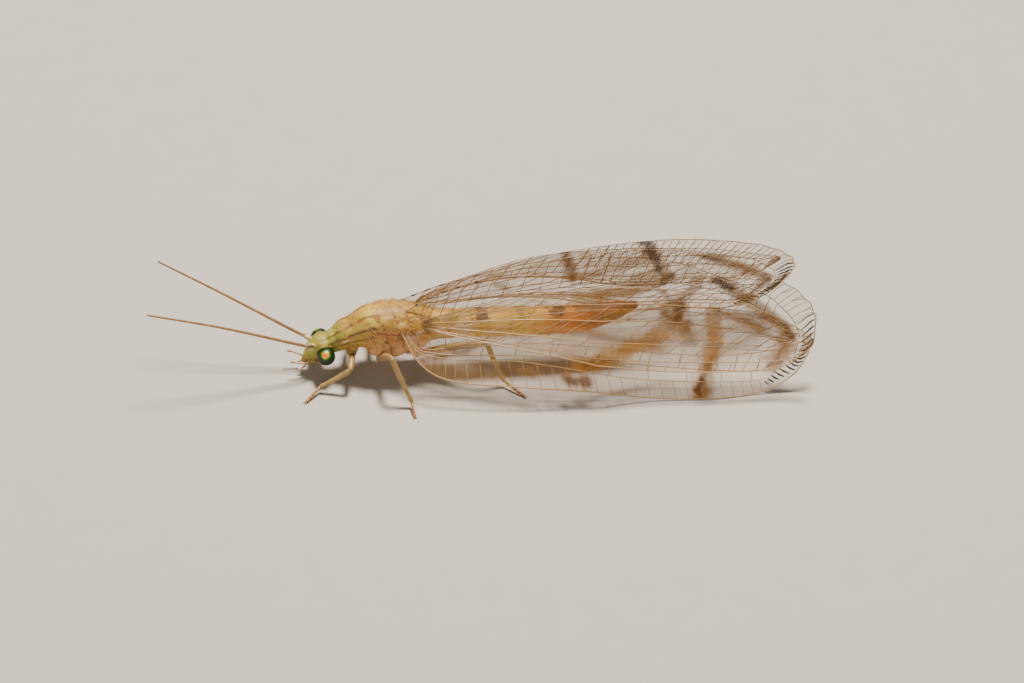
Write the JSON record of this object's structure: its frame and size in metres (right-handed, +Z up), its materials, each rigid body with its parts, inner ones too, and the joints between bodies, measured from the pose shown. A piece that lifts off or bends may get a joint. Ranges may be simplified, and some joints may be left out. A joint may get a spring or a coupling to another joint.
{
  "type": "green lacewing",
  "caption": "Life-size still model of a resting green lacewing with roof-like banded wings, standing on its feet and lower wing edges.",
  "frame": {"origin": "on the floor under the middle of the whole insect's bounding box", "axes": "+X towards the wing tips (the head looks along -X), -Y the insect's left side, +Z up"},
  "size_m": [0.023, 0.006, 0.0048],
  "materials": {
    "head": "soft sheen, yellow-green with brown stripes",
    "thorax": "soft sheen, peach-tan with brown sutures and fine pale hairs",
    "abdomen": "soft sheen, pale yellow turning orange to the rear",
    "eye": "dark metallic green with orange-red glints",
    "feeler": "tan-brown",
    "leg": "pale yellowish tan with orange-brown feet",
    "wing": "clear membrane with brown veins and brown bands"
  },
  "bodies": {
    "root": {"head": "head", "prothorax": "thorax", "mesothorax": "thorax", "metathorax": "thorax", "abdomen_front": "abdomen", "abdomen_middle": "abdomen", "abdomen_tip": "abdomen", "eye_left": "eye", "antenna_left": "feeler", "forewing_left": "wing", "hindwing_left": "wing", "fore_leg_left": "leg", "mid_leg_left": "leg", "hind_leg_left": "leg", "eye_right": "eye", "antenna_right": "feeler", "forewing_right": "wing", "hindwing_right": "wing", "fore_leg_right": "leg", "mid_leg_right": "leg", "hind_leg_right": "leg"}
  },
  "joints": []
}
